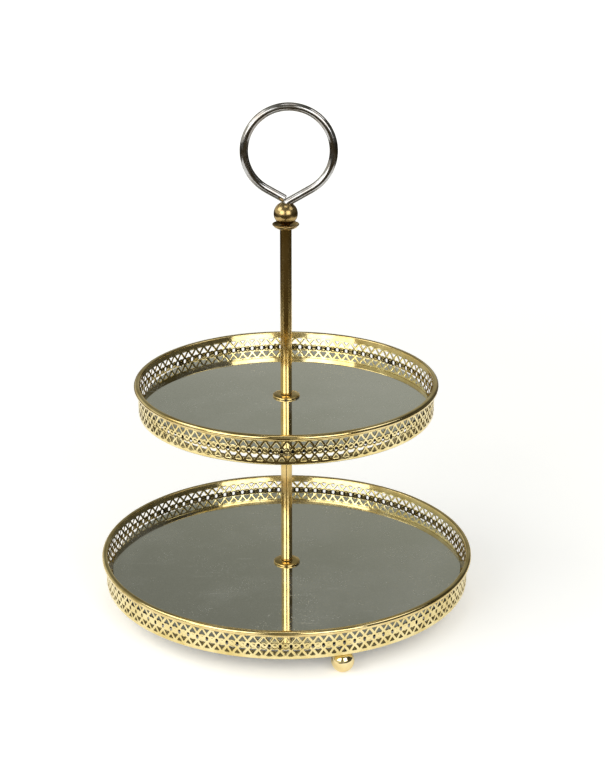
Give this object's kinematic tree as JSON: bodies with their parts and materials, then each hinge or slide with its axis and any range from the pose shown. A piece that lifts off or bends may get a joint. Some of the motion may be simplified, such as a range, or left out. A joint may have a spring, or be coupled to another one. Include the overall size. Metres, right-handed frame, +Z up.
{
  "type": "tiered cake stand",
  "caption": "Tiered stand with round mirror trays inside pierced brass gallery walls, a screwed centre rod, a wire ring handle above a ball, and ball feet.",
  "frame": {"origin": "on the surface that the feet stand on, on the centre rod's axis", "axes": "+Z up along the centre rod; the front faces -Y and the handle's ring lies across it, in the XZ plane"},
  "size_m": [0.3, 0.3, 0.4074],
  "materials": {
    "gallery_brass": "polished gold-coloured plate, lightly tarnished",
    "rim_brass": "polished, warm gold",
    "rod_brass": "satin polished",
    "foot_brass": "bright polished",
    "knob_brass": "polished, slightly bronzed",
    "mirror_glass": "clear mirror with dust and fine scratches",
    "backing_felt": "matt black felt",
    "zinc_steel": "zinc plated",
    "handle_nickel": "nickel plated, slightly worn"
  },
  "bodies": {
    "base": {"lower_gallery_wall": "gallery_brass", "lower_rim_bead": "rim_brass", "lower_bottom_lip": "gallery_brass", "lower_base_plate": "zinc_steel", "lower_mirror_pad": "backing_felt", "lower_mirror": "mirror_glass", "foot_ball_front": "foot_brass", "foot_ball_right": "foot_brass", "foot_ball_left": "foot_brass", "foot_screw_front": "zinc_steel", "foot_screw_right": "zinc_steel", "foot_screw_left": "zinc_steel", "base_washer": "zinc_steel", "base_screw": "zinc_steel", "lower_rod_flange": "rod_brass", "lower_rod": "rod_brass", "lower_rod_bottom_plug": "zinc_steel", "lower_rod_top_plug": "zinc_steel", "support_flange": "rod_brass"},
    "upper_tray": {"upper_gallery_wall": "gallery_brass", "upper_rim_bead": "rim_brass", "upper_bottom_lip": "gallery_brass", "upper_base_plate": "zinc_steel", "upper_mirror_pad": "backing_felt", "upper_mirror": "mirror_glass"},
    "rod_flange": {"upper_rod_flange": "rod_brass"},
    "upper_rod": {"upper_rod": "rod_brass", "upper_rod_top_plug": "zinc_steel", "upper_rod_bottom_plug": "zinc_steel", "tier_stud": "zinc_steel"},
    "saucer": {"saucer_collar": "knob_brass"},
    "handle": {"handle_loop": "handle_nickel", "ball_knob": "knob_brass"}
  },
  "joints": [
    {"name": "upper_tray_turn", "type": "hinge", "parent": "base", "child": "upper_tray", "pos_m": [0, 0, 0.1725], "axis": [0, 0, 1], "continuous": true},
    {"name": "upper_rod_lift", "type": "slide", "parent": "base", "child": "rod_flange", "axis": [0, 0, 1], "range_m": [0, 0.008]},
    {"name": "upper_rod_turn", "type": "hinge", "parent": "rod_flange", "child": "upper_rod", "pos_m": [0, 0, 0.24], "axis": [0, 0, 1], "range_deg": [0, 3645]},
    {"name": "handle_lift", "type": "slide", "parent": "upper_rod", "child": "saucer", "axis": [0, 0, 1], "range_m": [0, 0.008]},
    {"name": "handle_turn", "type": "hinge", "parent": "saucer", "child": "handle", "pos_m": [0, 0, 0.32], "axis": [0, 0, 1], "range_deg": [0, 3645]}
  ],
  "couplings": [
    {"joint": "upper_rod_turn", "follows": "upper_rod_lift", "rad_per_m": 7854},
    {"joint": "handle_turn", "follows": "handle_lift", "rad_per_m": 7854}
  ]
}
